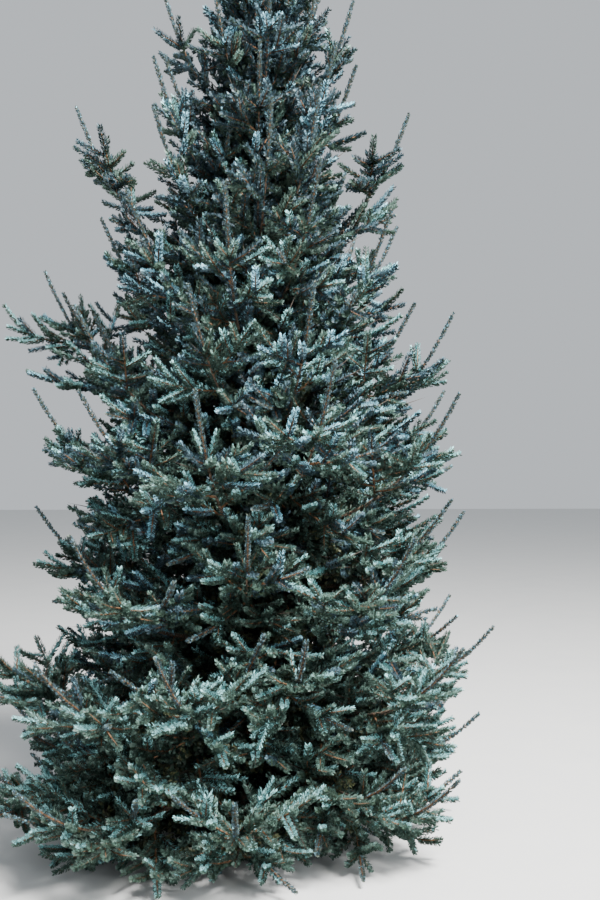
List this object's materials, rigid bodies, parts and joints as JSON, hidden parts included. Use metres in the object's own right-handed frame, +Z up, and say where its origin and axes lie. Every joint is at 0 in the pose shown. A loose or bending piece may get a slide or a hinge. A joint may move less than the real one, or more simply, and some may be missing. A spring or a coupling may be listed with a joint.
{
  "type": "serbian spruce",
  "caption": "Slender young conifer tree, rooted in the ground, with upswept blue-green boughs from the foot to a pointed top.",
  "frame": {"origin": "middle of the flat cut under the trunk, at ground level", "axes": "+Z up the trunk; the side seen in the picture faces -Y, with +X to its right"},
  "size_m": [2.1802, 2.127, 4],
  "materials": {
    "bark": "rough, scaly grey-brown bark",
    "needles": "matt silver-blue and blue-green needles on orange-brown twigs"
  },
  "bodies": {
    "root": {"trunk": "bark", "bough_1_1": "bark", "bough_1_2": "bark", "bough_1_3": "bark", "bough_1_4": "bark", "bough_1_5": "bark", "bough_1_6": "bark", "bough_2_1": "bark", "bough_2_2": "bark", "bough_2_3": "bark", "bough_2_4": "bark", "bough_2_5": "bark", "foliage_1_1": "needles", "foliage_1_2": "needles", "foliage_1_3": "needles", "foliage_1_4": "needles", "foliage_1_5": "needles", "foliage_1_6": "needles", "foliage_2_1": "needles", "foliage_2_2": "needles", "foliage_2_3": "needles", "foliage_2_4": "needles", "foliage_2_5": "needles", "foliage_3_1": "needles", "foliage_3_2": "needles", "foliage_3_3": "needles", "foliage_3_4": "needles", "foliage_3_5": "needles", "foliage_4_1": "needles", "foliage_4_2": "needles", "foliage_4_3": "needles", "foliage_4_4": "needles", "foliage_4_5": "needles", "foliage_5_1": "needles", "foliage_5_2": "needles", "foliage_5_3": "needles", "foliage_5_4": "needles", "foliage_5_5": "needles", "foliage_6_1": "needles", "foliage_6_2": "needles", "foliage_6_3": "needles", "foliage_6_4": "needles", "foliage_6_5": "needles", "foliage_7_1": "needles", "foliage_7_2": "needles", "foliage_7_3": "needles", "foliage_7_4": "needles", "foliage_8_1": "needles", "foliage_8_2": "needles", "foliage_8_3": "needles", "foliage_8_4": "needles", "foliage_9_1": "needles", "foliage_9_2": "needles", "foliage_9_3": "needles", "foliage_9_4": "needles", "foliage_10_1": "needles", "foliage_10_2": "needles", "foliage_10_3": "needles", "foliage_11_1": "needles", "foliage_11_2": "needles"}
  },
  "joints": []
}
